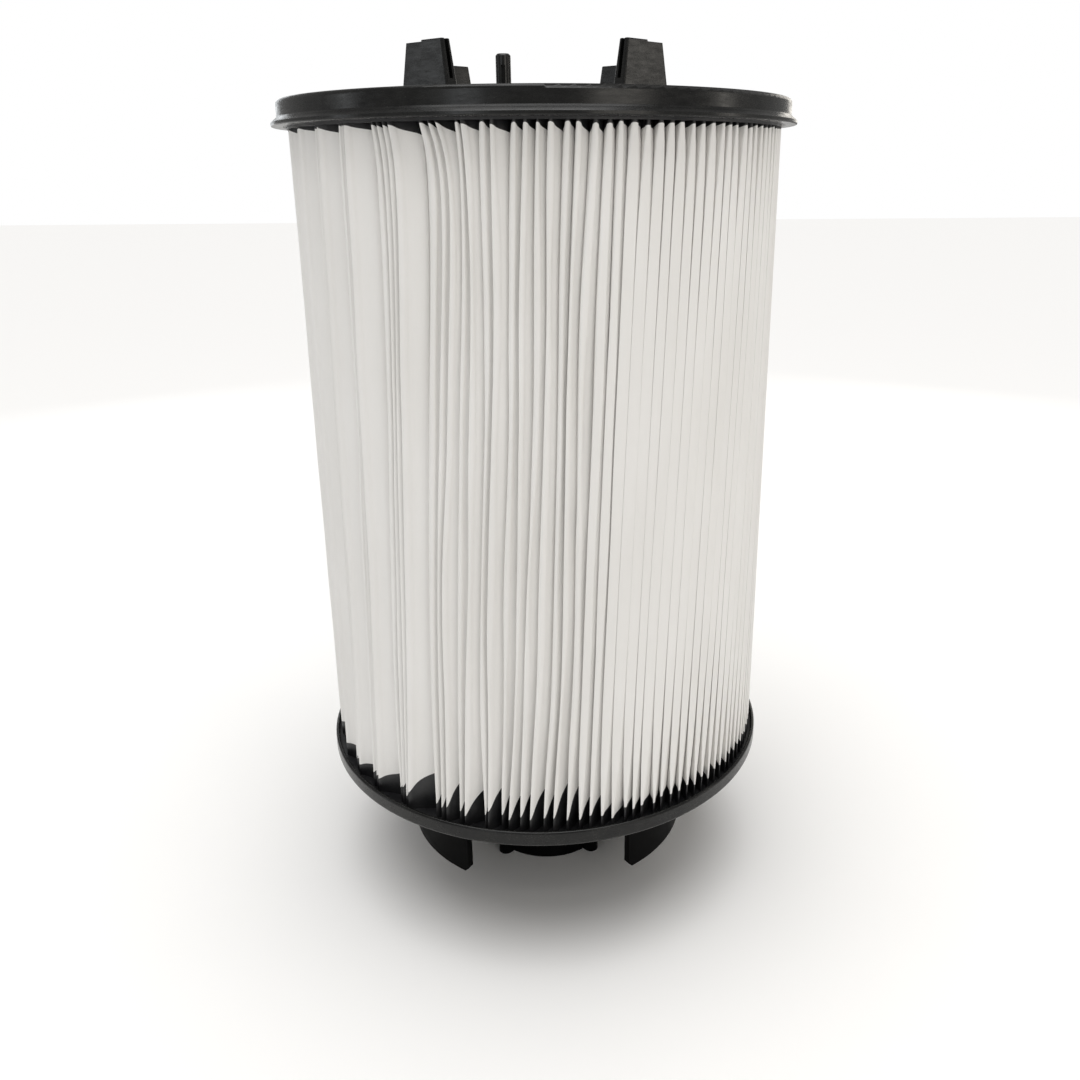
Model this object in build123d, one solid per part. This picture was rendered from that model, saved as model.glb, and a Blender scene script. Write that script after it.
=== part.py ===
from build123d import *
import os
from math import cos, radians, sin

# A large outer filter cartridge for a pool filter tank, in millimetres.
# +Z is up along the cartridge's axis, and z = 0 is the underside of the outlet hub.
# The front of the cartridge, where the two feet leave a gap, faces -Y.

# Heights of the main levels
HUB_BOTTOM = 0.0
FEET_BOTTOM = 27.0
BOTTOM_CAP_BOTTOM = 119.0
BOTTOM_RIM_TOP = 131.6
TOP_LIP_BOTTOM = 641.0
TOP_RIM_TOP = 659.0
LUG_TOP = 694.5
POST_TOP = 683.0

# Pleat pack
PLEAT_TIP_R = 189.0
PLEAT_ROOT_R = 131.0
SEAM_CLIP_DEPTH = 15.0
SEAM_CLIP_WIDTH = 4.0
SEAM_CLIP_WALL = 1.2

# Top cap
LIP_R = 200.0
LIP_H = 5.4
TOP_RIM_R = 195.5
TOP_WALL = 4.0
DECK = 4.0
DECK_TOP = TOP_RIM_TOP - 3.0
POTTING_TOP = DECK_TOP - DECK
TOP_SKIRT_H = 1.6
OPENING_R = 105.0
COLLAR_WALL = 7.0
COLLAR_BOTTOM = 643.0
COLLAR_SHELF = 1.0
LAND_TOP = TOP_RIM_TOP - 1.0
LAND_SLOPE = 2.0
TOP_RIB_COUNT = 24
TOP_RIB_H = 2.0
RIB_WIDTH = 2.2
LIP_EASE = 1.2
TOP_RIM_ROUND = 2.8
MOUTH_ROUND = 1.2

# Hold-down lugs, one in each quarter of the land, each on a tenon
LUG_X = 73.0
LUG_Y = 87.5
LUG_BASE = (46.0, 11.0)
LUG_HEAD = (35.0, 8.0)
LUG_STEP = 1.2
LUG_STEP_SHARE = 0.6
LUG_GROOVE = 3.2
LUG_GROOVE_INSET = 0.6
LUG_GROOVE_RISE = 4.0
LUG_GROOVE_SHORT = 5.0
LUG_CORNER_ROUND = 1.6
LUG_HEAD_ROUND = 0.8
LUG_TENON = (22.0, 5.0)
LUG_TENON_H = 4.0

# Slotted locating post, beside the front left lug
POST_X = -21.2
POST_Y = -114.0
POST_R = 5.0
POST_FOOT_R = 7.5
POST_FOOT_EDGE = 1.0
POST_FOOT_H = 4.0
POST_SPIGOT_R = 3.5
POST_SPIGOT_L = 5.0
POST_SLOT = 2.6
POST_SLOT_SHARE = 0.66
POST_SLOT_RISE = 1.5
POST_CHAMFER = 1.2

# Core cage, stacked from equal sections
CORE_R = 130.0
CORE_WALL = 4.0
CORE_TOP = 640.0
CORE_BOTTOM = 136.0
CORE_SECTIONS = 4
CORE_BARS = 30
CORE_BAR_WIDTH = 5.0
CORE_BAR_THINNER = 0.6
CORE_HOOPS = 6
CORE_HOOP_H = 5.0
TONGUE_WALL = 1.2
TONGUE_H = 3.0

# Bottom cap and its two curved feet
BOTTOM_CAP_R = 193.8
BOTTOM_WALL = 3.0
FLOOR = 4.0
BOTTOM_POTTING_H = 4.0
FOOT_R = 127.3
FOOT_WALL = 6.6
FOOT_HALF_SPAN = 56.5
FOOT_CORNER = 3.5
FOOT_SEAT = 2.0
FOOT_SEAT_EXTRA_ANGLE = 0.3
BOTTOM_RIB_COUNT = 12
BOTTOM_RIB_H = 12.0
BOTTOM_RIB_CLEAR = 3.0
BOTTOM_RIM_ROUND = 1.9
BOTTOM_EDGE_ROUND = 2.5

# Outlet hub, its retaining flange, mouth ring, gasket and screws
HUB_R = 53.5
HUB_BORE_R = 45.0
FLANGE_R = 78.0
FLANGE_H = 6.0
COLLAR_R = 60.0
COLLAR_H = 3.0
MOUTH_SEAT_R = 50.0
MOUTH_RING_R = 55.0
MOUTH_RING_H = 12.0
GASKET_H = 2.0
GASKET_INSET = 1.0
HUB_NECK_R = 47.5
EAR_R = 65.0
EAR_WIDTH = 13.0
EAR_H = 10.0
EAR_ANGLE = 43.0
HUB_ROUND = 1.5
SCREW_COUNT = 6
SCREW_CIRCLE_R = 66.0
SCREW_R = 2.5
SCREW_HEAD_R = 5.2
SCREW_HEAD_H = 3.6
SCREW_SOCKET_R = 2.4
SCREW_SOCKET_H = 2.2
SCREW_HEAD_ROUND = 1.0
SCREW_BOSS_R = 6.5
SCREW_BOSS_H = 9.0
SCREW_REACH = 7.0

# Seal rings, the small gaps that keep neighbouring curved faces apart, the reach of a joined
# or cutting shape past the face that it crosses, and the round of the caps' small edges
SEAL_R = 2.0
SEAL_GROOVE_H = 4.6
OPENING_SEAL_Z = 650.5
HUB_SEAL_Z = 15.0
GAP = 0.1
LOOSE = 0.3
OVERLAP = 1.0
SMALL_ROUND = 0.9

FLOOR_TOP = BOTTOM_CAP_BOTTOM + FLOOR
MEDIA_BOTTOM = FLOOR_TOP + BOTTOM_POTTING_H
MEDIA_TOP = TOP_LIP_BOTTOM - TOP_SKIRT_H
FLANGE_TOP = BOTTOM_CAP_BOTTOM - GASKET_H
FLANGE_BOTTOM = FLANGE_TOP - FLANGE_H
CORE_IN_R = CORE_R - CORE_WALL
CORE_SECTION_H = (CORE_TOP - CORE_BOTTOM) / CORE_SECTIONS
TONGUE_R = CORE_R - CORE_WALL / 2 + TONGUE_WALL / 2


def revolved(points):
    """A solid of revolution about Z from (radius, height) points."""
    outline = Plane.XZ * Polyline(*points, close=True)
    return revolve(make_face(outline), Axis.Z)


def ring(outer, inner, bottom, top):
    """A plain ring about Z."""
    return Pos(0, 0, bottom) * extrude(Circle(outer) - Circle(inner), top - bottom)


def seal(radius, height):
    """A round-section seal ring that rests in the wall of a bore of this radius."""
    return Pos(0, 0, height) * Torus(radius + SEAL_R + GAP, SEAL_R)


def seal_groove(radius, height):
    """The groove in the bore's wall that holds that seal ring."""
    half = SEAL_GROOVE_H / 2
    return ring(radius + 2 * SEAL_R + 2 * GAP, radius - OVERLAP, height - half, height + half)


def circle_edges(part, radius, height):
    """The full-circle edges of a part at one radius and one height."""
    def there(edge):
        on_level = abs(edge.center().Z - height) < 0.01
        return on_level and abs(edge.radius - radius) < 0.01
    return part.edges().filter_by(GeomType.CIRCLE).filter_by(there)


def radial_ribs(count, inner, outer, bottom, top):
    """Straight ribs that stand like spokes between two radii."""
    middle = (inner + outer) / 2
    rib = Pos(middle, 0, (bottom + top) / 2) * Box(outer - inner, RIB_WIDTH, top - bottom)
    return [Rot(0, 0, (i + 0.5) * 360 / count) * rib for i in range(count)]


def tongue(height):
    """The thin ring that stands up from a core joint."""
    return ring(TONGUE_R, TONGUE_R - TONGUE_WALL, height, height + TONGUE_H)


def tongue_groove(height):
    """The groove that the tongue below it enters."""
    return ring(TONGUE_R + LOOSE, TONGUE_R - TONGUE_WALL - LOOSE, height, height + TONGUE_H + LOOSE)


def hold_down_lug():
    """One drafted lug on its tenon, with its high, grooved end towards +X."""
    height = LUG_TOP - LAND_TOP
    foot = Plane.XY * Rectangle(*LUG_BASE)
    head = Pos(0, 0, height) * Rectangle(*LUG_HEAD)
    body = loft([foot, head], ruled=True)
    corners = body.edges().filter_by(lambda edge: abs(edge.center().Z - height / 2) < 1)
    body = fillet(corners, LUG_CORNER_ROUND)
    body = fillet(body.faces().sort_by(Axis.Z)[-1].edges(), LUG_HEAD_ROUND)
    step_length = LUG_HEAD[0] * LUG_STEP_SHARE
    step_x = step_length / 2 - LUG_BASE[0] / 2
    step = Pos(step_x, 0, height) * Box(step_length, 2 * LUG_BASE[1], 2 * LUG_STEP)
    body = body - step
    groove_place = Pos(LUG_HEAD[0] / 2 + LUG_GROOVE_INSET, 0, height / 2 + LUG_GROOVE_RISE)
    groove = groove_place * Box(LUG_GROOVE * 2, LUG_GROOVE, height - LUG_GROOVE_SHORT)
    tenon = Pos(0, 0, -LUG_TENON_H / 2) * Box(*LUG_TENON, LUG_TENON_H)
    return body - groove + tenon


def four_ways(shape):
    """A shape for the front left quarter, mirrored into all four quarters of the cap."""
    swing = 90 - Vector(LUG_X, LUG_Y).get_angle(Vector(1, 0))
    front_left = Pos(-LUG_X, -LUG_Y, LAND_TOP) * Rot(0, 0, -swing) * shape
    front_right = mirror(front_left, Plane.YZ)
    return {
        "front_left": front_left,
        "front_right": front_right,
        "back_left": mirror(front_left, Plane.XZ),
        "back_right": mirror(front_right, Plane.XZ),
    }


def lug_mortises():
    """The four slots in the land that take the lugs' tenons."""
    depth = LUG_TENON_H + LOOSE
    slot = Pos(0, 0, -depth / 2) * Box(LUG_TENON[0] + 2 * GAP, LUG_TENON[1] + 2 * GAP, depth)
    return list(four_ways(slot).values())


def top_cap():
    """The ring-shaped end cap: rim, ribbed deck, potting trough and opening collar."""
    trough_r = TOP_RIM_R - TOP_WALL
    body = revolved([
        (OPENING_R, COLLAR_BOTTOM),
        (OPENING_R + COLLAR_WALL, COLLAR_BOTTOM),
        (OPENING_R + COLLAR_WALL, POTTING_TOP - COLLAR_SHELF),
        (CORE_IN_R, POTTING_TOP - COLLAR_SHELF),
        (CORE_IN_R, CORE_TOP),
        (CORE_R, CORE_TOP),
        (CORE_R, POTTING_TOP),
        (trough_r, POTTING_TOP),
        (trough_r, TOP_LIP_BOTTOM),
        (LIP_R, TOP_LIP_BOTTOM),
        (LIP_R, TOP_LIP_BOTTOM + LIP_H / 2),
        (TOP_RIM_R + LIP_EASE, TOP_LIP_BOTTOM + LIP_H),
        (TOP_RIM_R, TOP_LIP_BOTTOM + LIP_H + LIP_EASE),
        (TOP_RIM_R, TOP_RIM_TOP),
        (trough_r, TOP_RIM_TOP),
        (trough_r, DECK_TOP),
        (CORE_IN_R, DECK_TOP),
        (CORE_IN_R - LAND_SLOPE, LAND_TOP),
        (OPENING_R, LAND_TOP),
    ])
    body = fillet(circle_edges(body, TOP_RIM_R, TOP_RIM_TOP), TOP_RIM_ROUND)
    body = fillet(circle_edges(body, trough_r, TOP_RIM_TOP), SMALL_ROUND)
    body = fillet(circle_edges(body, LIP_R, TOP_LIP_BOTTOM), SMALL_ROUND)
    body = fillet(circle_edges(body, OPENING_R, LAND_TOP), MOUTH_ROUND)
    rib_ends = (CORE_IN_R + OVERLAP, trough_r + OVERLAP)
    ribs = radial_ribs(TOP_RIB_COUNT, *rib_ends, DECK_TOP - OVERLAP, DECK_TOP + TOP_RIB_H)
    body = body + ribs - lug_mortises()
    hole = extrude(Circle(POST_SPIGOT_R + GAP / 2), POST_SPIGOT_L + OVERLAP)
    post_hole = Pos(POST_X, POST_Y, LAND_TOP - POST_SPIGOT_L) * hole
    return body - seal_groove(OPENING_R, OPENING_SEAL_Z) - tongue_groove(CORE_TOP) - post_hole


def slotted_post():
    """The locating post: a flared foot, a chamfered head and a slot on its outer side."""
    stem_h = POST_TOP - LAND_TOP
    body = revolved([
        (0, -POST_SPIGOT_L),
        (POST_SPIGOT_R, -POST_SPIGOT_L),
        (POST_SPIGOT_R, 0),
        (POST_FOOT_R, 0),
        (POST_FOOT_R, POST_FOOT_EDGE),
        (POST_R, POST_FOOT_H),
        (POST_R, stem_h - POST_CHAMFER),
        (POST_R - POST_CHAMFER, stem_h),
        (0, stem_h),
    ])
    slot_h = stem_h * POST_SLOT_SHARE
    slot = Pos(0, -POST_R, POST_SLOT_RISE + slot_h / 2) * Box(POST_SLOT, 2 * POST_R, slot_h)
    return Pos(POST_X, POST_Y, LAND_TOP) * (body - slot)


def top_potting():
    """The cast ring that bonds the pleats into the top cap, with a skirt below the lip."""
    cap_part = ring(TOP_RIM_R - TOP_WALL - GAP, CORE_R + GAP, TOP_LIP_BOTTOM, POTTING_TOP)
    skirt = ring(PLEAT_TIP_R, CORE_R + GAP, MEDIA_TOP, TOP_LIP_BOTTOM)
    return cap_part + skirt


def seam_slot(width, depth):
    """The space of the seam clip, at the back of the pleat pack."""
    height = MEDIA_TOP - MEDIA_BOTTOM
    middle = (MEDIA_TOP + MEDIA_BOTTOM) / 2
    return Pos(0, PLEAT_ROOT_R + depth / 2 - OVERLAP, middle) * Box(width, depth + 2 * OVERLAP, height)


def pleated_media():
    """The pleat pack as one closed ring, with a slot at the back for the seam clip."""
    pack = ring(PLEAT_TIP_R, PLEAT_ROOT_R, MEDIA_BOTTOM, MEDIA_TOP)
    return pack - seam_slot(SEAM_CLIP_WIDTH + 2 * GAP, SEAM_CLIP_DEPTH)


def seam_clip():
    """The channel that grips the two ends of the pleated sheet together."""
    height = MEDIA_TOP - MEDIA_BOTTOM - 2 * LOOSE
    middle = (MEDIA_TOP + MEDIA_BOTTOM) / 2
    centre_y = PLEAT_ROOT_R + SEAM_CLIP_DEPTH / 2 + LOOSE
    outside = Box(SEAM_CLIP_WIDTH, SEAM_CLIP_DEPTH - 1, height)
    inner_width = SEAM_CLIP_WIDTH - 2 * SEAM_CLIP_WALL
    channel = Pos(0, SEAM_CLIP_WALL, 0) * Box(inner_width, SEAM_CLIP_DEPTH - 1, height)
    return Pos(0, centre_y, middle) * (outside - channel)


def core_section(index):
    """One cage section: hoops and upright bars, with a tongue on top and a groove below."""
    bottom = CORE_BOTTOM + index * CORE_SECTION_H
    top = bottom + CORE_SECTION_H
    pitch = (CORE_SECTION_H - CORE_HOOP_H) / (CORE_HOOPS - 1)
    hoops = []
    for i in range(CORE_HOOPS):
        low = bottom + i * pitch
        hoops.append(ring(CORE_R, CORE_IN_R, low, low + CORE_HOOP_H))
    bar_r = CORE_R - CORE_WALL / 2
    bar_size = (CORE_WALL - CORE_BAR_THINNER, CORE_BAR_WIDTH, CORE_SECTION_H - 2 * OVERLAP)
    bar = Pos(bar_r, 0, (bottom + top) / 2) * Box(*bar_size)
    bars = [Rot(0, 0, i * 360 / CORE_BARS) * bar for i in range(CORE_BARS)]
    cage = hoops[0] + hoops[1:] + bars
    return cage + tongue(top) - tongue_groove(bottom)


def foot_arc(outer, inner, half_span, bottom, top):
    """A curved wall about +X, between two radii, that spans half_span degrees each way."""
    reach = 2 * outer
    outline = [(0, 0)]
    for angle in (-half_span, 0, half_span):
        outline.append((reach * cos(radians(angle)), reach * sin(radians(angle))))
    wedge = Pos(0, 0, bottom) * extrude(make_face(Polyline(*outline, close=True)), top - bottom)
    return ring(outer, inner, bottom, top) & wedge


def foot():
    """One curved foot about +X, with its two lower corners cut back."""
    arc = foot_arc(FOOT_R, FOOT_R - FOOT_WALL, FOOT_HALF_SPAN, FEET_BOTTOM, BOTTOM_CAP_BOTTOM + FOOT_SEAT)
    low = arc.edges().filter_by(GeomType.LINE).group_by(Axis.Z)[0]
    return chamfer(low, FOOT_CORNER)


def foot_seat():
    """The curved groove in the underside of the bottom cap that takes a foot's top edge."""
    outer = FOOT_R + LOOSE
    inner = FOOT_R - FOOT_WALL - LOOSE
    top = BOTTOM_CAP_BOTTOM + FOOT_SEAT
    half_span = FOOT_HALF_SPAN + FOOT_SEAT_EXTRA_ANGLE
    return foot_arc(outer, inner, half_span, BOTTOM_CAP_BOTTOM - OVERLAP, top)


def bottom_cap():
    """The lower end cap: rim, floor, core wall, ribs, screw bosses and the feet's seats."""
    wall_r = BOTTOM_CAP_R - BOTTOM_WALL
    hole_r = HUB_NECK_R + LOOSE
    body = revolved([
        (hole_r, BOTTOM_CAP_BOTTOM),
        (BOTTOM_CAP_R, BOTTOM_CAP_BOTTOM),
        (BOTTOM_CAP_R, BOTTOM_RIM_TOP),
        (wall_r, BOTTOM_RIM_TOP),
        (wall_r, FLOOR_TOP),
        (CORE_R, FLOOR_TOP),
        (CORE_R, CORE_BOTTOM),
        (CORE_IN_R, CORE_BOTTOM),
        (CORE_IN_R, FLOOR_TOP),
        (hole_r, FLOOR_TOP),
    ])
    body = fillet(circle_edges(body, BOTTOM_CAP_R, BOTTOM_RIM_TOP), BOTTOM_RIM_ROUND)
    body = fillet(circle_edges(body, wall_r, BOTTOM_RIM_TOP), SMALL_ROUND)
    body = fillet(circle_edges(body, BOTTOM_CAP_R, BOTTOM_CAP_BOTTOM), BOTTOM_EDGE_ROUND)
    rib_bottom = BOTTOM_CAP_BOTTOM - BOTTOM_RIB_H
    rib_ends = (FLANGE_R + BOTTOM_RIB_CLEAR, FOOT_R - FOOT_WALL - OVERLAP)
    ribs = radial_ribs(BOTTOM_RIB_COUNT, *rib_ends, rib_bottom, BOTTOM_CAP_BOTTOM + OVERLAP)
    boss = Pos(0, 0, FLOOR_TOP) * extrude(Circle(SCREW_BOSS_R), SCREW_BOSS_H)
    bosses = [spot * boss for spot in screw_spots()]
    body = body + ribs + bosses + tongue(CORE_BOTTOM) - [foot_seat(), Rot(0, 0, 180) * foot_seat()]
    pilot = Pos(0, 0, BOTTOM_CAP_BOTTOM) * extrude(Circle(SCREW_R), FLOOR + SCREW_REACH + OVERLAP)
    return body - [spot * pilot for spot in screw_spots()]


def screw_spots():
    """The places of the hub screws about the axis."""
    return [Rot(0, 0, i * 360 / SCREW_COUNT) * Pos(SCREW_CIRCLE_R, 0, 0) for i in range(SCREW_COUNT)]


def screw_holes(bottom, height):
    """Clearance holes for the hub screws, through one layer."""
    hole = Pos(0, 0, bottom) * extrude(Circle(SCREW_R + LOOSE), height)
    return [spot * hole for spot in screw_spots()]


def bottom_potting():
    """The cast ring that bonds the pleats into the bottom cap."""
    return ring(BOTTOM_CAP_R - BOTTOM_WALL - GAP, CORE_R + GAP, FLOOR_TOP, MEDIA_BOTTOM)


def outlet_hub():
    """The outlet tube, with a collar that the flange holds and a seal groove in its bore."""
    body = revolved([
        (HUB_BORE_R, HUB_BOTTOM),
        (MOUTH_SEAT_R, HUB_BOTTOM),
        (MOUTH_SEAT_R, MOUTH_RING_H),
        (HUB_R, MOUTH_RING_H),
        (HUB_R, FLANGE_TOP - COLLAR_H),
        (COLLAR_R, FLANGE_TOP - COLLAR_H),
        (COLLAR_R, FLANGE_TOP),
        (HUB_NECK_R, FLANGE_TOP),
        (HUB_NECK_R, FLOOR_TOP),
        (HUB_BORE_R, FLOOR_TOP),
    ])
    body = fillet(circle_edges(body, HUB_BORE_R, HUB_BOTTOM), HUB_ROUND)
    return body - seal_groove(HUB_BORE_R, HUB_SEAL_Z)


def mouth_ring():
    """The ring round the hub's mouth, with four ears that lock into the tank's outlet."""
    body = ring(MOUTH_RING_R, MOUTH_SEAT_R + GAP, HUB_BOTTOM, MOUTH_RING_H)
    tip = Pos(EAR_R - EAR_WIDTH / 2, 0) * Circle(EAR_WIDTH / 2)
    root_length = EAR_R - EAR_WIDTH / 2 - HUB_R
    root = Pos(HUB_R + root_length / 2, 0) * Rectangle(root_length, EAR_WIDTH)
    ear = extrude(tip + root, EAR_H)
    ear = fillet(ear.edges().group_by(Axis.Z)[-1].sort_by(Axis.X)[-1], HUB_ROUND)
    angles = (EAR_ANGLE, 180 - EAR_ANGLE, 180 + EAR_ANGLE, -EAR_ANGLE)
    return body + [Rot(0, 0, angle - 90) * ear for angle in angles]


def hub_flange():
    """The ring that holds the hub's collar up against the bottom cap."""
    body = ring(FLANGE_R, HUB_R + LOOSE, FLANGE_BOTTOM, FLANGE_TOP)
    recess = ring(COLLAR_R + LOOSE, HUB_R - OVERLAP, FLANGE_TOP - COLLAR_H, FLANGE_TOP)
    return body - recess - screw_holes(FLANGE_BOTTOM, FLANGE_H)


def hub_gasket():
    """The flat gasket between the hub with its flange and the bottom cap."""
    disc = ring(FLANGE_R - GASKET_INSET, HUB_NECK_R + LOOSE, FLANGE_TOP, BOTTOM_CAP_BOTTOM)
    return disc - screw_holes(FLANGE_TOP, GASKET_H)


def hub_screws():
    """The socket-head screws that hold the hub, entered from below."""
    top = FLOOR_TOP + SCREW_REACH
    head_bottom = Pos(0, 0, FLANGE_BOTTOM - SCREW_HEAD_H)
    head = head_bottom * extrude(Circle(SCREW_HEAD_R), SCREW_HEAD_H)
    head = fillet(head.edges().group_by(Axis.Z)[0], SCREW_HEAD_ROUND)
    shank = Pos(0, 0, FLANGE_BOTTOM) * extrude(Circle(SCREW_R - GAP / 2), top - FLANGE_BOTTOM)
    socket = head_bottom * extrude(RegularPolygon(SCREW_SOCKET_R, 6), SCREW_SOCKET_H)
    screw = head + shank - socket
    return Compound(children=[spot * screw for spot in screw_spots()])


def write(name, shape):
    """Write one sub-part."""
    export_step(shape, f"parts/{name}.step")


os.makedirs("parts", exist_ok=True)
write("top_cap", top_cap())
for quarter, lug in four_ways(hold_down_lug()).items():
    write(f"hold_down_lug_{quarter}", lug)
write("slotted_post", slotted_post())
write("opening_seal_ring", seal(OPENING_R, OPENING_SEAL_Z))
write("top_potting", top_potting())
write("pleated_media", pleated_media())
write("seam_clip", seam_clip())
for number in range(CORE_SECTIONS):
    write(f"core_section_{number + 1}", core_section(number))
write("bottom_potting", bottom_potting())
write("bottom_cap", bottom_cap())
write("right_foot", foot())
write("left_foot", Rot(0, 0, 180) * foot())
write("outlet_hub", outlet_hub())
write("hub_mouth_ring", mouth_ring())
write("hub_flange", hub_flange())
write("outlet_seal_ring", seal(HUB_BORE_R, HUB_SEAL_Z))
write("hub_gasket", hub_gasket())
write("hub_screws", hub_screws())
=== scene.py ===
from math import cos, pi, radians, sin

import bpy
import numpy as np
from mathutils import Matrix, Vector


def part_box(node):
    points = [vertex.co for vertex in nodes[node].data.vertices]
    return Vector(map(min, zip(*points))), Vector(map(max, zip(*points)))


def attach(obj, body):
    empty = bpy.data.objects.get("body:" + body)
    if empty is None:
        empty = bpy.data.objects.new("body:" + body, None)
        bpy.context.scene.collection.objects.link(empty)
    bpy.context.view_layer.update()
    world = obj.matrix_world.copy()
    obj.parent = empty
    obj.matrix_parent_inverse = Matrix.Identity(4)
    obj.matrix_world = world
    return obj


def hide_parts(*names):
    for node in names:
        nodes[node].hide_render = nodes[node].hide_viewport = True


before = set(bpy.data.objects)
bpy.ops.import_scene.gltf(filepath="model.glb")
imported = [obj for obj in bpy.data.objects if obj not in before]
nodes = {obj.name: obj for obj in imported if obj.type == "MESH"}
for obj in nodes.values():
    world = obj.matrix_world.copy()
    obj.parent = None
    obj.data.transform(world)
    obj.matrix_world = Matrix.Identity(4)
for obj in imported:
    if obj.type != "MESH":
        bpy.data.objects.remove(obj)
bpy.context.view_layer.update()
MM = 0.001

# The heights and radii that the looks are built on, all read from the frame
CORE_CLEARANCE = 1.2 * MM
media_low, media_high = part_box("pleated_media")
MEDIA_BOTTOM = media_low.z
MEDIA_HEIGHT = media_high.z - MEDIA_BOTTOM
TIP_R = media_high.x
ROOT_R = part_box("core_section_1")[1].x + CORE_CLEARANCE
PLEAT_DEPTH = TIP_R - ROOT_R

# The pleat pack: pleats, degrees from one to the next, and rows of points up each mesh
PLEATS = 136
PITCH = 360 / PLEATS
SHEET_ROWS = 48
POTTING_ROWS = 5

# How the tips lean and hook over round the pack, in degrees, and where down the pack
LEAN = 3.5
LEFT_LEAN = 3.0
FOOT_LEAN = 6.5
HOOK = 5
HOOK_MIDDLE = -20
HOOK_SPREAD = 9
HOOK_START = 30 * MM
HOOK_FADE = 220 * MM
GRIP_LEAST = 0.26

# How far the tips fall short of the pack's outer radius
TIP_MARGIN = 0.5 * MM
RANK_STEP = 0.9 * MM

# The fold at a tip: its half thickness as a share of the gap to the next pleat, and its limits
FOLD_SHARE = 0.34
FREE_THINNER = 0.1
MERGED_WIDER = 0.158
FOLD_LEAST = 1.0 * MM
FOLD_MOST = 3.6 * MM
MERGED_MOST_MORE = 1.6 * MM
HEAD_OPENING = 0.45
SWELL_LEAST = -0.35
SWELL_MOST = 0.15

# How deep behind the fold a pleat's flank meets the next pleat's
CLOSING_LEAST = 0.8 * MM
CLOSING_SHARE = 0.17
FREE_CLOSING_SHARE = 0.15
END_CLOSING = 6 * MM
FREE_FOOT_CLOSING = 16 * MM
FLANK_LEAST = 0.7
CLEARANCE = 0.02 * MM
GAP_LEAST = 1.5 * MM

# How far from the two ends the pleats open out, and where the right-hand ones merge
FOOT_HOLD = 12 * MM
FOOT_EASE = 34 * MM
HEAD_EASE = 9 * MM
MERGE_EASE = 45 * MM

# A pleat's section: how its depth is shared, and how the lean grows with depth
BEND_POWER = 1.25
VALLEY_SHARE = 0.016
NOSE_SHARE = 0.036
MERGED_NOSE_LESS = 0.9
NOSE_POWER = 2
MERGED_NOSE_POWER = 4
RIGHT_FLANK = 0.62
LEFT_FLANK = 0.38

# How high the potting climbs at the tips, and how much further inwards
FOOT_WICK = 13 * MM
HEAD_WICK = 1.0 * MM
HEAD_JITTER_SHARE = 0.4
WICK_MOST = 17 * MM
WICK_MOST_PER_CLIMB = 2 * MM
FOOT_CLIMB = 9
HEAD_CLIMB = 1


# ---------------------------------------------------------------- smooth random curves

rng = np.random.default_rng(41)


def smooth_noise(count, knots, amplitude, member=None):
    """One smooth random curve over 0..1 per item. member says which curve each pleat reads."""
    values = rng.normal(0, amplitude, (count, knots))
    item = (np.arange(count) if member is None else member)[:, None]

    def at(v):
        x = np.clip(v, 0, 1) * (knots - 1)
        low = np.clip(np.floor(x).astype(int), 0, knots - 2)
        t = x - low
        t = t * t * (3 - 2 * t)
        return values[item, low] * (1 - t) + values[item, low + 1] * t
    return at


# ---------------------------------------------------------------- the pleated media

# How many neighbouring pleats lean on each other, from the left side round the front to the right
LEFT_EDGE = -70
FRONT_BUNDLES = (4, 4, 3, 4, 3, 2, 2, 2, 1, 1, 2, 1, 2, 1, 1, 3, 2, 1, 3, 3, 1, 2, 2, 3)


def bundles():
    """The pleats' root azimuths from the back round, each pleat's bundle and its rank in it."""
    roots = -180 + PITCH * (np.arange(PLEATS) + 0.5)
    bundle = np.zeros(PLEATS, int)
    rank = np.zeros(PLEATS, int)
    front = list(FRONT_BUNDLES)
    start, number = 0, 0
    while start < PLEATS:
        size = int(rng.choice([1, 2, 3, 4]))
        if roots[start] > LEFT_EDGE and front:
            size = front.pop(0)
        size = min(size, PLEATS - start)
        bundle[start:start + size] = number
        rank[start:start + size] = np.arange(size)[::-1]
        start += size
        number += 1
    return roots, bundle, rank, number


def step_up(value, middle, width):
    """A soft step from 0 to 1."""
    return 1 / (1 + np.exp(-(value - middle) / width))


ROOTS, BUNDLE, RANK, BUNDLES = bundles()
# The middle of each pleat's bundle, then how far the pleat belongs to the left side, where flanks lie
# over each other, to the right, where folds merge, and to the free ones between
CENTRE = np.array([ROOTS[BUNDLE == b].mean() for b in range(BUNDLES)])[BUNDLE]
LEFT = step_up(-CENTRE, 30, 6) * step_up(CENTRE, -120, 4)
RIGHT = step_up(CENTRE, 18.5, 1.2) * step_up(-CENTRE, -130, 4)
FREE = (1 - LEFT) * (1 - RIGHT)
UNREST = (1 - 0.9 * RIGHT) * (1 - 0.4 * LEFT)
TIGHT = 0.62 - 0.3 * LEFT + 0.34 * RIGHT
bundle_sway = smooth_noise(BUNDLES, 4, 0.55, BUNDLE)
bundle_grip = smooth_noise(BUNDLES, 4, 0.15, BUNDLE)
pleat_sway = smooth_noise(PLEATS, 6, 0.2)
pleat_swell = smooth_noise(PLEATS, 6, 0.3)
pleat_reach = smooth_noise(PLEATS, 6, 0.5 * MM)
end_drop = rng.normal(0, 1.5 * MM, PLEATS) * (1 + 0.8 * FREE)
end_slope = rng.uniform(0.26, 0.5, PLEATS)


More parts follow.
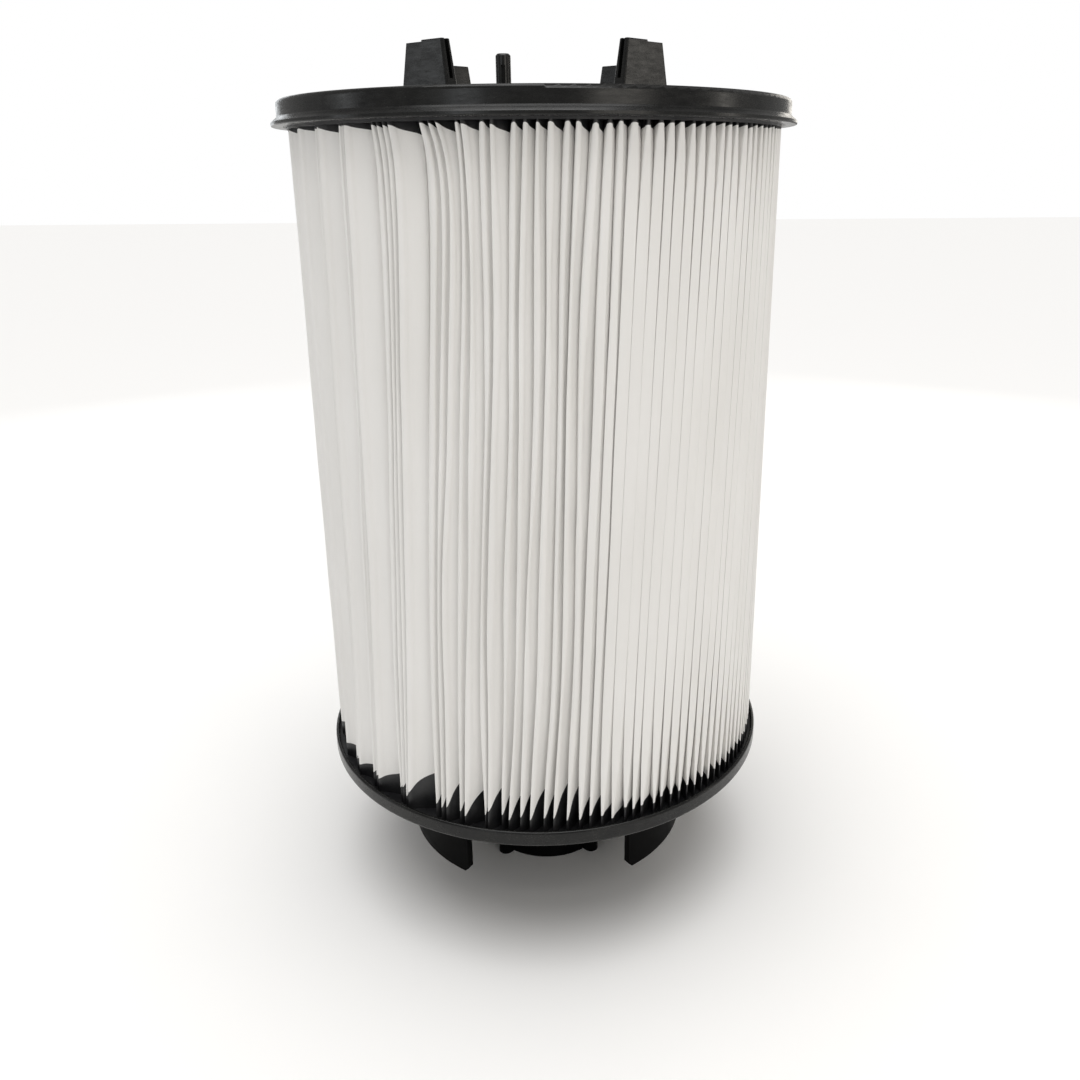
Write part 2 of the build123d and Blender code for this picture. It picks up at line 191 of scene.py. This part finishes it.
def tip_places(v):
    """Azimuth in degrees and radius of every pleat's tip, for heights v from 0 at the bottom to 1."""
    unrest = UNREST[:, None]
    centre = CENTRE[:, None]
    grip = np.clip(TIGHT[:, None] + bundle_grip(v), GRIP_LEAST, 1)
    lean = -(LEAN + LEFT_LEAN * LEFT[:, None]) - FOOT_LEAN * (1 - v)
    down = (1 - v) * MEDIA_HEIGHT
    hooked = np.exp(-((centre - HOOK_MIDDLE) / HOOK_SPREAD) ** 2)
    hook = HOOK * (1 - np.exp(-down / HOOK_START)) * np.exp(-down / HOOK_FADE) * hooked
    azimuth = centre + grip * (ROOTS[:, None] - centre) + lean + hook
    azimuth = azimuth + (bundle_sway(v) + pleat_sway(v)) * unrest
    short = (np.abs(pleat_reach(v)) + RANK_STEP * RANK[:, None]) * unrest
    return azimuth, TIP_R - TIP_MARGIN - short


def neighbour_tip(v, step):
    """The azimuth of the tip of the pleat that lies step places on, at this pleat's own heights."""
    azimuth = np.roll(tip_places(np.roll(v, step, axis=0))[0], -step, axis=0)
    if step > 0:
        azimuth[-step:] += 360
    else:
        azimuth[:-step] -= 360
    return azimuth


def section_steps():
    """Places across one pleat, from one valley over the tip to the next: (share of its depth, side)."""
    root_fold = [0.0, 0.005, 0.016]
    flank = [0.15, 0.4, 0.6, 0.72, 0.8, 0.85, 0.88, 0.905, 0.925, 0.942]
    tip_fold = [0.958, 0.97, 0.98, 0.988, 0.994, 0.998, 0.9993]
    up = root_fold + flank + tip_fold
    return [(s, -1) for s in up] + [(1.0, 0)] + [(s, 1) for s in reversed(up[1:])]


STEPS = section_steps()
DEPTH = np.array([depth for depth, side in STEPS])
SIDE = np.array([side for depth, side in STEPS])


def openness(v):
    """How open the pleats are above the foot and below the head, and how merged, each from 0 to 1."""
    from_foot = v * MEDIA_HEIGHT
    from_head = (1 - v) * MEDIA_HEIGHT
    above_foot = 1 - np.exp(-np.maximum(from_foot - FOOT_HOLD, 0) / FOOT_EASE)
    below_head = 1 - np.exp(-from_head / HEAD_EASE)
    clear_of_ends = (1 - np.exp(-from_foot / MERGE_EASE)) * (1 - np.exp(-from_head / MERGE_EASE))
    return above_foot, below_head, RIGHT[:, None, None] * clear_of_ends


def fold_thickness(gap, swell, above_foot, below_head, merged):
    """Half the thickness of the fold at each tip, thinnest where it enters the potting."""
    share = FOLD_SHARE - FREE_THINNER * FREE[:, None, None] + MERGED_WIDER * merged
    full = np.minimum(share * gap * swell, FOLD_MOST + MERGED_MOST_MORE * merged)
    opened = above_foot * (HEAD_OPENING + (1 - HEAD_OPENING) * below_head)
    return np.minimum(FOLD_LEAST, full) + np.maximum(full - FOLD_LEAST, 0) * opened


def closing_depth(gap, above_foot, below_head, merged):
    """How deep behind the fold each flank meets the next pleat's."""
    free = FREE[:, None, None]
    share = CLOSING_SHARE + FREE_CLOSING_SHARE * free
    at_ends = END_CLOSING * (1 - above_foot * below_head) + FREE_FOOT_CLOSING * free * (1 - above_foot)
    return CLOSING_LEAST + share * gap * (1 - merged) + at_ends


def pleat_points(v):
    """Points of the folded sheet at heights v, shaped (pleats, steps, heights): v varies with each point."""
    flat_v = v.reshape(PLEATS, -1)
    tip_azimuth, tip_r = [a.reshape(v.shape) for a in tip_places(flat_v)]
    before = neighbour_tip(flat_v, -1).reshape(v.shape)
    after = neighbour_tip(flat_v, 1).reshape(v.shape)
    depth = DEPTH[None, :, None]
    side = SIDE[None, :, None]
    root = ROOTS[:, None, None]
    bend = depth ** BEND_POWER
    azimuth = np.radians(root + (tip_azimuth - root) * bend)
    radius = ROOT_R + (tip_r - ROOT_R) * depth
    # how far it is to the next pleat on this point's side, measured round the pack
    to_next = np.where(side > 0, after - tip_azimuth, tip_azimuth - before)
    gap = np.maximum(radius * np.radians(PITCH + (to_next - PITCH) * bend), GAP_LEAST)
    # the fold's own half thickness, then how far the flank swells until it meets its neighbour
    above_foot, below_head, merged = openness(v)
    uneven = np.clip(pleat_swell(flat_v), SWELL_LEAST, SWELL_MOST).reshape(v.shape)
    fold = fold_thickness(gap, 1 + uneven * (1 - merged), above_foot, below_head, merged)
    nose_share = NOSE_SHARE * (1 - MERGED_NOSE_LESS * merged)
    inward = (1 - nose_share - depth) * PLEAT_DEPTH / closing_depth(gap, above_foot, below_head, merged)
    fill = np.clip(inward, 0, 1)
    fill = fill * fill * (3 - 2 * fill)
    share = np.where(side > 0, RIGHT_FLANK, LEFT_FLANK)
    met = np.maximum(share * gap - CLEARANCE, fold * FLANK_LEAST)
    thick = fold + (met - fold) * fill
    # round the valley's bottom and the nose at the tip
    closing = np.clip((VALLEY_SHARE - depth) / VALLEY_SHARE, 0, 1)
    thick = thick + (share * gap - thick) * (1 - np.sqrt(1 - closing ** 2))
    past = np.clip((depth - (1 - nose_share)) / nose_share, 0, 1)
    power = NOSE_POWER + MERGED_NOSE_POWER * merged
    offset = side * thick * (1 - past ** power) ** (1 / power)
    x = radius * np.sin(azimuth) + offset * np.cos(azimuth)
    y = -radius * np.cos(azimuth) + offset * np.sin(azimuth)
    z = MEDIA_BOTTOM + v * MEDIA_HEIGHT
    return np.stack([x, y, z], axis=-1)


def wetted(start, end_jitter, free_climb):
    """How far the potting has climbed across every pleat: further inwards, most of all on free pleats."""
    climb = free_climb * FREE
    inward = (1 - DEPTH[None, :]) * PLEAT_DEPTH
    rise = (end_slope * (1 + climb))[:, None] * inward
    most = WICK_MOST + WICK_MOST_PER_CLIMB * climb[:, None]
    rise = most * (1 - np.exp(-rise / most))
    return start + end_jitter[:, None] + rise


def sheet_mesh(name, low, high, rows):
    """The part of the folded sheet between two edges, each given as shares of its height."""
    share = np.linspace(0, 1, rows)[None, None, :]
    v = low[:, :, None] + (high - low)[:, :, None] * share
    points = pleat_points(v)
    # one continuous sheet round the pack: each pleat's last valley is the next one's first
    points[:, 0] = (points[:, 0] + np.roll(points[:, -1], 1, axis=0)) / 2
    grid = points[:, :-1].reshape(-1, rows, 3)
    columns = len(grid)
    index = np.arange(columns * rows).reshape(columns, rows)
    after = np.roll(index, -1, axis=0)
    faces = np.stack([index[:, :-1], after[:, :-1], after[:, 1:], index[:, 1:]], axis=-1).reshape(-1, 4)
    mesh = bpy.data.meshes.new(name)
    mesh.from_pydata(grid.reshape(-1, 3).tolist(), [], faces.tolist())
    mesh.polygons.foreach_set("use_smooth", [True] * len(faces))
    mesh.update()
    piece = bpy.data.objects.new(name, mesh)
    bpy.context.scene.collection.objects.link(piece)
    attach(piece, "root")
    return piece


# ---------------------------------------------------------------- materials

def new_material(name, colour, roughness, **sockets):
    """A material with one principled shader whose steady values are set on its own sockets."""
    made = bpy.data.materials.new(name)
    made.use_nodes = True
    shader = made.node_tree.nodes["Principled BSDF"]
    shader.inputs["Base Color"].default_value = (*colour, 1)
    shader.inputs["Roughness"].default_value = roughness
    for socket, value in sockets.items():
        shader.inputs[socket.replace("_", " ")].default_value = value
    return made, made.node_tree, shader


def noise(tree, scale, detail=4, roughness=0.5, stretch=(1, 1, 1)):
    """A noise texture in the object's own metres, stretched along its axes."""
    place = tree.nodes.new("ShaderNodeTexCoord")
    mapping = tree.nodes.new("ShaderNodeMapping")
    mapping.inputs["Scale"].default_value = stretch
    texture = tree.nodes.new("ShaderNodeTexNoise")
    texture.inputs["Scale"].default_value = scale
    texture.inputs["Detail"].default_value = detail
    texture.inputs["Roughness"].default_value = roughness
    tree.links.new(place.outputs["Object"], mapping.inputs["Vector"])
    tree.links.new(mapping.outputs["Vector"], texture.inputs["Vector"])
    return texture.outputs["Fac"]


def ramp(tree, value, stops):
    """A colour ramp: stops are (place, colour) pairs."""
    node = tree.nodes.new("ShaderNodeValToRGB")
    elements = node.color_ramp.elements
    while len(elements) < len(stops):
        elements.new(0.5)
    for element, (place, colour) in zip(elements, stops):
        element.position = place
        element.color = (*colour, 1)
    tree.links.new(value, node.inputs["Fac"])
    return node.outputs["Color"]


def spread(tree, value, low, high):
    """The value's middle range, spread between low and high."""
    node = tree.nodes.new("ShaderNodeMapRange")
    node.inputs["From Min"].default_value = 0.3
    node.inputs["From Max"].default_value = 0.7
    node.inputs["To Min"].default_value = low
    node.inputs["To Max"].default_value = high
    tree.links.new(value, node.inputs["Value"])
    return node.outputs["Result"]


def bump(tree, shader, layers):
    """Stacked bumps: each layer is (height, distance in metres, strength)."""
    normal = None
    for height, distance, strength in layers:
        node = tree.nodes.new("ShaderNodeBump")
        node.inputs["Distance"].default_value = distance
        node.inputs["Strength"].default_value = strength
        tree.links.new(height, node.inputs["Height"])
        if normal is not None:
            tree.links.new(normal, node.inputs["Normal"])
        normal = node.outputs["Normal"]
    tree.links.new(normal, shader.inputs["Normal"])


def media_material():
    """Spun-bonded polyester sheet: matt warm white with a fine matted-fibre surface."""
    made, tree, shader = new_material("spunbond_polyester", (0.86, 0.845, 0.82), 0.85)
    cloudy = noise(tree, 22, 3, 0.55, (1, 1, 0.35))
    colour = ramp(tree, cloudy, [(0.3, (0.775, 0.762, 0.738)), (0.7, (0.815, 0.803, 0.783))])
    tree.links.new(colour, shader.inputs["Base Color"])
    fibres = noise(tree, 1500, 3, 0.65, (1, 1, 0.3))
    cross = noise(tree, 1300, 3, 0.65, (0.35, 0.35, 1))
    mottled = noise(tree, 260, 2, 0.5)
    tree.links.new(spread(tree, mottled, 0.78, 0.92), shader.inputs["Roughness"])
    bump(tree, shader, [(mottled, 0.0006, 0.12), (fibres, 0.0002, 0.3), (cross, 0.0002, 0.3)])
    return made


def cap_material():
    """Glossy black moulded plastic with faint flow marks, dust and scuffs."""
    made, tree, shader = new_material("moulded_black", (0.005, 0.005, 0.005), 0.2, Specular_IOR_Level=0.28)
    dusty = noise(tree, 60, 5, 0.65)
    colour = ramp(tree, dusty, [(0.35, (0.004, 0.004, 0.004)), (0.75, (0.012, 0.012, 0.011))])
    tree.links.new(colour, shader.inputs["Base Color"])
    scuffs = noise(tree, 90, 6, 0.7, (1, 1, 4))
    tree.links.new(spread(tree, scuffs, 0.16, 0.34), shader.inputs["Roughness"])
    flow = noise(tree, 28, 2, 0.4)
    grain = noise(tree, 900, 2, 0.5)
    bump(tree, shader, [(flow, 0.002, 0.14), (grain, 0.0001, 0.12)])
    return made


def shaded_material():
    """The caps' black plastic in a darker, duller copy for the base mouldings: painted shade on the parts
    underneath, with fine grain and handling marks.
    """
    # the darker base colour and the much lower specular than the caps' plastic are painted shade; the
    # mottling is handling marks
    black = (0.003, 0.003, 0.003)
    made, tree, shader = new_material("moulded_black_painted_shade", black, 0.4, Specular_IOR_Level=0.03)
    marks = noise(tree, 70, 5, 0.6)
    colour = ramp(tree, marks, [(0.35, (0.002, 0.002, 0.002)), (0.75, (0.005, 0.005, 0.005))])
    tree.links.new(colour, shader.inputs["Base Color"])
    tree.links.new(spread(tree, marks, 0.3, 0.5), shader.inputs["Roughness"])
    grain = noise(tree, 800, 2, 0.5)
    bump(tree, shader, [(noise(tree, 25, 2, 0.4), 0.002, 0.2), (grain, 0.0001, 0.15)])
    return made


def potting_material():
    """Cast potting compound: satin black, slightly wavy."""
    made, tree, shader = new_material("cast_potting", (0.01, 0.01, 0.011), 0.4)
    pools = noise(tree, 75, 3, 0.5)
    tree.links.new(spread(tree, pools, 0.3, 0.52), shader.inputs["Roughness"])
    colour = ramp(tree, pools, [(0.3, (0.008, 0.008, 0.009)), (0.7, (0.018, 0.018, 0.019))])
    tree.links.new(colour, shader.inputs["Base Color"])
    bump(tree, shader, [(pools, 0.0015, 0.3)])
    return made


def core_material():
    """Natural white moulded plastic for the cage and the seam clip."""
    made, tree, shader = new_material("natural_plastic", (0.74, 0.74, 0.71), 0.42, Subsurface_Weight=0.08)
    shade = noise(tree, 45, 3, 0.5)
    colour = ramp(tree, shade, [(0.3, (0.7, 0.7, 0.67)), (0.7, (0.78, 0.78, 0.76))])
    tree.links.new(colour, shader.inputs["Base Color"])
    tree.links.new(spread(tree, shade, 0.36, 0.5), shader.inputs["Roughness"])
    bump(tree, shader, [(noise(tree, 700, 2), 0.0001, 0.15)])
    return made


def rubber_material():
    """Soft matt black rubber with a bloom of dust."""
    made, tree, shader = new_material("seal_rubber", (0.018, 0.018, 0.018), 0.7)
    bloom = noise(tree, 180, 4, 0.6)
    colour = ramp(tree, bloom, [(0.35, (0.014, 0.014, 0.014)), (0.7, (0.034, 0.034, 0.033))])
    tree.links.new(colour, shader.inputs["Base Color"])
    tree.links.new(spread(tree, bloom, 0.6, 0.8), shader.inputs["Roughness"])
    bump(tree, shader, [(noise(tree, 1200, 2), 0.0001, 0.2)])
    return made


def steel_material():
    """Stainless screws with fine turning marks."""
    made, tree, shader = new_material("stainless", (0.6, 0.6, 0.61), 0.3, Metallic=1.0)
    marks = noise(tree, 1400, 3, 0.6, (1, 1, 0.1))
    tree.links.new(spread(tree, marks, 0.22, 0.42), shader.inputs["Roughness"])
    colour = ramp(tree, marks, [(0.3, (0.55, 0.55, 0.56)), (0.7, (0.66, 0.66, 0.67))])
    tree.links.new(colour, shader.inputs["Base Color"])
    bump(tree, shader, [(marks, 0.0001, 0.15)])
    return made


# ---------------------------------------------------------------- stage, camera and lights

FLOOR_REACH = 12


def stage():
    """A wide pale floor."""
    mesh = bpy.data.meshes.new("floor")
    reach = FLOOR_REACH
    corners = [(-reach, -reach, 0), (reach, -reach, 0), (reach, reach, 0), (-reach, reach, 0)]
    mesh.from_pydata(corners, [], [(0, 1, 2, 3)])
    floor = bpy.data.objects.new("floor", mesh)
    bpy.context.scene.collection.objects.link(floor)
    paint, tree, shader = new_material("pale_floor", (0.96, 0.952, 0.94), 0.9)
    mesh.materials.append(paint)


CAMERA_PLACE = (0, -0.8225, 0.610)
CAMERA_PITCH = radians(18.29)
CAMERA_YAW = radians(2.02)
CAMERA_ROLL = radians(-0.345)
CAMERA_LENS = 32.76
CAMERA_SENSOR = 36
CAMERA_SHIFT = (-0.0329, -0.0419)


def camera():
    """The viewing angle: a short lens near the cap's height, looking down at the whole cartridge."""
    pitch, yaw = CAMERA_PITCH, CAMERA_YAW
    ahead = Vector((sin(yaw) * cos(pitch), cos(yaw) * cos(pitch), -sin(pitch)))
    right = Vector((cos(yaw), -sin(yaw), 0))
    up = right.cross(ahead)
    level = Matrix((right, up, -ahead)).transposed().to_4x4()
    data = bpy.data.cameras.new("camera")
    data.lens = CAMERA_LENS
    data.sensor_width = CAMERA_SENSOR
    data.shift_x, data.shift_y = CAMERA_SHIFT
    eye = bpy.data.objects.new("camera", data)
    eye.matrix_world = Matrix.Translation(CAMERA_PLACE) @ level @ Matrix.Rotation(CAMERA_ROLL, 4, "Z")
    bpy.context.scene.collection.objects.link(eye)
    bpy.context.scene.camera = eye


LIGHT_DISTANCE = 2.2
LIGHT_HEIGHT = 0.9
AIM = (0, 0, 0.6)


def area_light(name, place, size, power, colour):
    """A rectangular lamp that faces the middle of the cartridge."""
    data = bpy.data.lights.new(name, "AREA")
    data.shape = "RECTANGLE"
    data.size, data.size_y = size
    data.energy = power
    data.color = colour
    lamp = bpy.data.objects.new(name, data)
    lamp.location = place
    lamp.rotation_euler = (Vector(AIM) - Vector(place)).to_track_quat("-Z", "Y").to_euler()
    bpy.context.scene.collection.objects.link(lamp)


def window(name, bearing, size, brightness, colour):
    """A soft box at a bearing round the cartridge: 0 is the front, 90 the right."""
    around = radians(bearing)
    place = (LIGHT_DISTANCE * sin(around), -LIGHT_DISTANCE * cos(around), LIGHT_HEIGHT)
    power = brightness * pi * size[0] * size[1]
    area_light(name, place, size, power, colour)


def windows():
    """Soft boxes all round, for the shape of the pleats and the highlights on the black plastic."""
    cool = (0.93, 0.97, 1.0)
    warm = (1.0, 0.95, 0.87)
    window("left_window", -28, (0.45, 0.6), 2.4, cool)
    window("right_window", 33, (0.9, 0.6), 2.7, warm)
    window("left_strip", -82, (0.3, 0.9), 2.1, cool)
    window("right_strip", 82, (0.3, 0.9), 3.2, warm)
    window("back_left", -150, (0.5, 0.9), 1.6, cool)
    window("back_right", 150, (0.5, 0.9), 2, warm)


def overhead():
    """Broad soft daylight from almost straight above."""
    sun = bpy.data.lights.new("overhead", "SUN")
    sun.energy = 2.05
    sun.angle = radians(54)
    lamp = bpy.data.objects.new("overhead", sun)
    lamp.rotation_euler = (radians(6), radians(-2), 0)
    bpy.context.scene.collection.objects.link(lamp)


def room():
    """Faint light from all round, behind a plain white backdrop that only the camera sees."""
    world = bpy.data.worlds.new("room")
    bpy.context.scene.world = world
    world.use_nodes = True
    tree = world.node_tree
    walls = tree.nodes["Background"]
    walls.inputs["Color"].default_value = (1.0, 0.99, 0.975, 1)
    walls.inputs["Strength"].default_value = 0.36
    backdrop = tree.nodes.new("ShaderNodeBackground")
    backdrop.inputs["Color"].default_value = (1, 1, 1, 1)
    seen = tree.nodes.new("ShaderNodeLightPath")
    mixed = tree.nodes.new("ShaderNodeMixShader")
    tree.links.new(seen.outputs["Is Camera Ray"], mixed.inputs["Fac"])
    tree.links.new(walls.outputs["Background"], mixed.inputs[1])
    tree.links.new(backdrop.outputs["Background"], mixed.inputs[2])
    tree.links.new(mixed.outputs["Shader"], tree.nodes["World Output"].inputs["Surface"])
    bpy.context.scene.view_settings.view_transform = "Standard"


# ---------------------------------------------------------------- assembly

def dress(material, *names):
    """Give CAD nodes a finished material."""
    for name in names:
        for slot in nodes[name].material_slots:
            slot.material = material


def sum_of_section(v):
    """The length of the sheet's folded line round the pack at one height, in metres."""
    points = pleat_points(np.full((PLEATS, len(STEPS), 1), v))[:, :, 0, :]
    steps = np.linalg.norm(np.diff(points, axis=1), axis=-1)
    return float(round(steps.sum(), 2))


def build_media():
    """The folded sheet, and the potting that has climbed up its two ends."""
    climb_low = wetted(FOOT_WICK, end_drop, FOOT_CLIMB) / MEDIA_HEIGHT
    climb_high = 1 - wetted(HEAD_WICK, np.abs(end_drop) * HEAD_JITTER_SHARE, HEAD_CLIMB) / MEDIA_HEIGHT
    bottom = np.zeros_like(climb_low)
    top = np.ones_like(climb_low)
    sheet = sheet_mesh("pleated_sheet", climb_low, climb_high, SHEET_ROWS)
    sheet.data.materials.append(media_material())
    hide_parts("pleated_media")
    cut_width = sum_of_section(0.5)
    potting = potting_material()
    ends = (("potting_wicked_low", bottom, climb_low), ("potting_wicked_high", climb_high, top))
    for name, low, high in ends:
        piece = sheet_mesh(name, low, high, POTTING_ROWS)
        piece.data.materials.append(potting)
    dress(potting, "top_potting", "bottom_potting")


stage()
camera()
windows()
overhead()
room()
build_media()
LUGS = [f"hold_down_lug_{end}_{hand}" for end in ("front", "back") for hand in ("left", "right")]
dress(cap_material(), "top_cap", "slotted_post", "bottom_cap", *LUGS)
# the hub and the feet get the darker, duller copy of the black plastic: painted shade
dress(shaded_material(), "outlet_hub", "hub_mouth_ring", "hub_flange", "right_foot", "left_foot")
dress(core_material(), "seam_clip", *[f"core_section_{i}" for i in range(1, 5)])
dress(rubber_material(), "opening_seal_ring", "outlet_seal_ring", "hub_gasket")
dress(steel_material(), "hub_screws")
